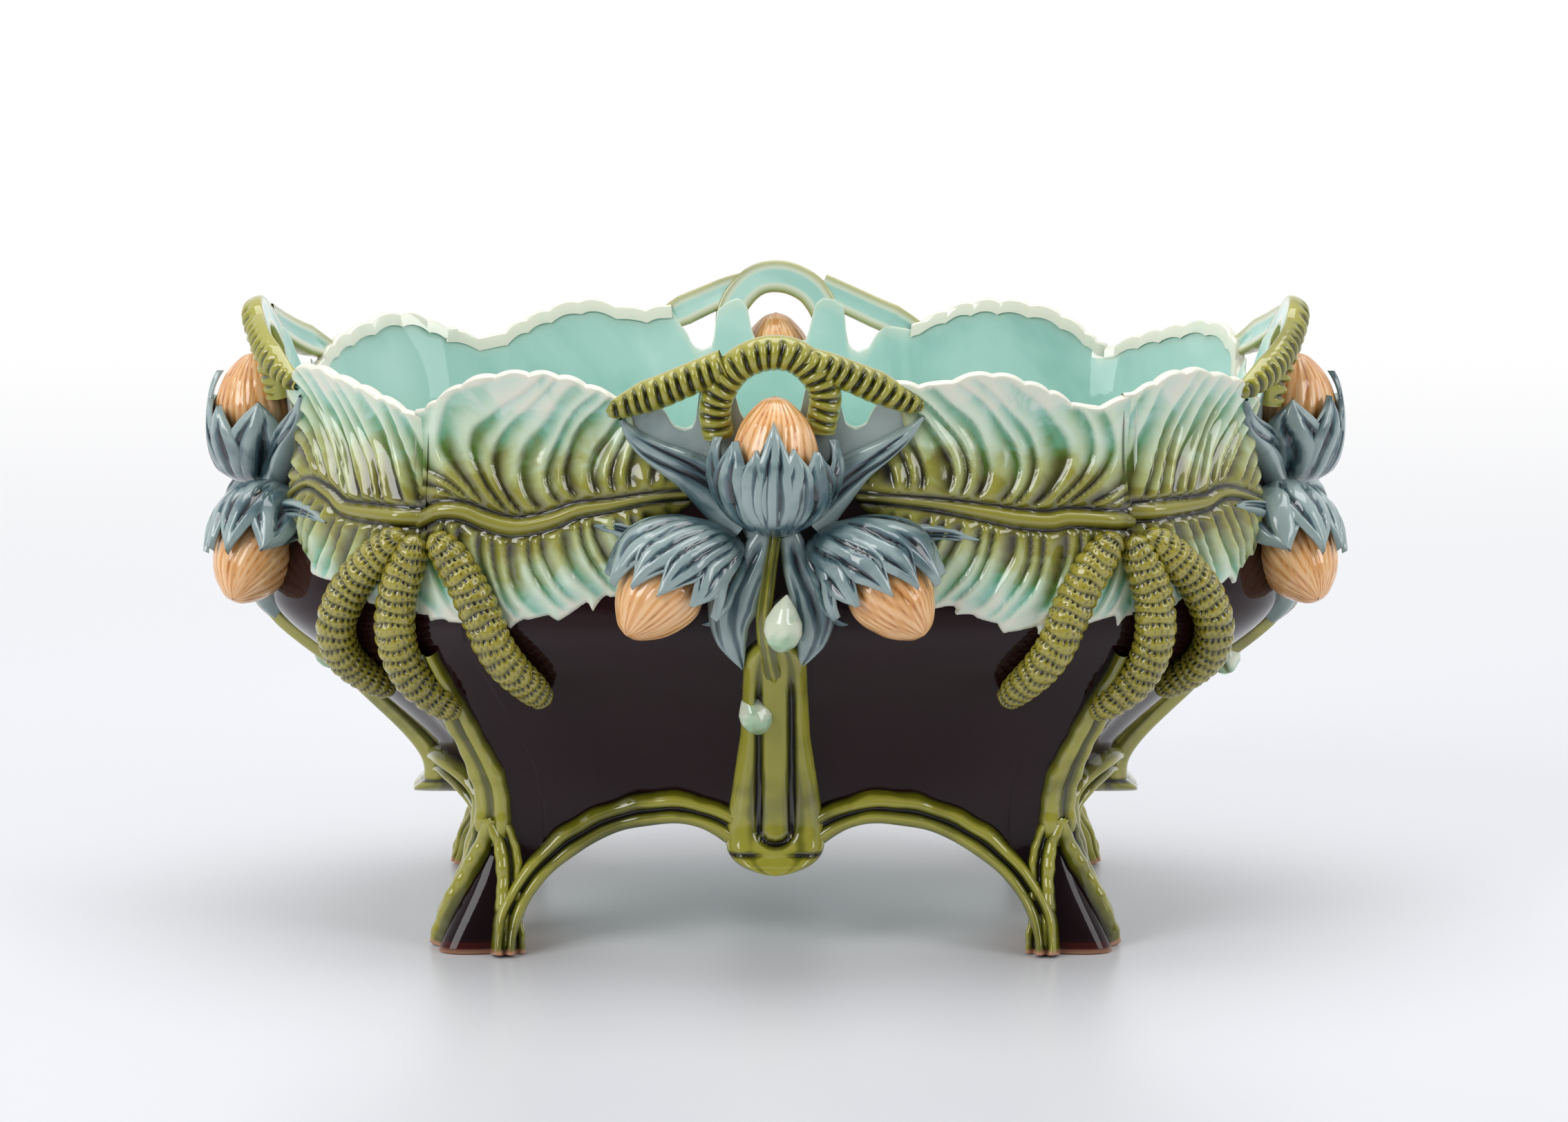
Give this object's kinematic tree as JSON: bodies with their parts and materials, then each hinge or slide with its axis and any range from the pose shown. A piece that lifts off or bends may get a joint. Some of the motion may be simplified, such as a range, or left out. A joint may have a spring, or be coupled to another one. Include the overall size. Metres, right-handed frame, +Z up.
{
  "type": "jardiniere",
  "caption": "Oblong four-footed glazed earthenware jardiniere with relief leaves, nuts, catkins and twig handles.",
  "frame": {"origin": "on the ground under the middle of the bowl", "axes": "+X along the length, +Z up, the front is -Y"},
  "size_m": [0.4068, 0.2546, 0.2192],
  "materials": {
    "aubergine_glaze": "gloss",
    "turquoise_glaze": "gloss",
    "leaf_glaze": "gloss",
    "olive_glaze": "gloss",
    "husk_glaze": "gloss",
    "nut_glaze": "gloss",
    "catkin_glaze": "gloss",
    "bare_clay": "matte"
  },
  "bodies": {
    "root": {"wall_front": "aubergine_glaze", "centre_rib_front": "olive_glaze", "arch_moulding_left_front": "olive_glaze", "arch_moulding_right_front": "olive_glaze", "nuts_front": "nut_glaze", "husks_front": "husk_glaze", "bracts_front": "husk_glaze", "buds_front": "nut_glaze", "handle_front": "olive_glaze", "wall_rear": "aubergine_glaze", "centre_rib_rear": "olive_glaze", "arch_moulding_left_rear": "olive_glaze", "arch_moulding_right_rear": "olive_glaze", "nuts_rear": "nut_glaze", "husks_rear": "husk_glaze", "bracts_rear": "husk_glaze", "buds_rear": "nut_glaze", "handle_rear": "olive_glaze", "wall_right_end": "aubergine_glaze", "centre_rib_right_end": "olive_glaze", "arch_moulding_left_right_end": "olive_glaze", "arch_moulding_right_right_end": "olive_glaze", "nuts_right_end": "nut_glaze", "husks_right_end": "husk_glaze", "bracts_right_end": "husk_glaze", "buds_right_end": "nut_glaze", "handle_right_end": "olive_glaze", "wall_left_end": "aubergine_glaze", "centre_rib_left_end": "olive_glaze", "arch_moulding_left_left_end": "olive_glaze", "arch_moulding_right_left_end": "olive_glaze", "nuts_left_end": "nut_glaze", "husks_left_end": "husk_glaze", "bracts_left_end": "husk_glaze", "buds_left_end": "nut_glaze", "handle_left_end": "olive_glaze", "foot_block_front_right": "bare_clay", "corner_rib_front_right": "olive_glaze", "catkins_front_right": "catkin_glaze", "leaf_long_front_right": "leaf_glaze", "foot_block_front_left": "bare_clay", "corner_rib_front_left": "olive_glaze", "catkins_front_left": "catkin_glaze", "leaf_long_front_left": "leaf_glaze", "foot_block_rear_left": "bare_clay", "corner_rib_rear_left": "olive_glaze", "catkins_rear_left": "catkin_glaze", "leaf_long_rear_left": "leaf_glaze", "foot_block_rear_right": "bare_clay", "corner_rib_rear_right": "olive_glaze", "catkins_rear_right": "catkin_glaze", "leaf_long_rear_right": "leaf_glaze", "leaf_short_left_end_front": "leaf_glaze", "leaf_short_left_end_rear": "leaf_glaze", "leaf_short_right_end_front": "leaf_glaze", "leaf_short_right_end_rear": "leaf_glaze", "floor_slab": "turquoise_glaze"}
  },
  "joints": []
}
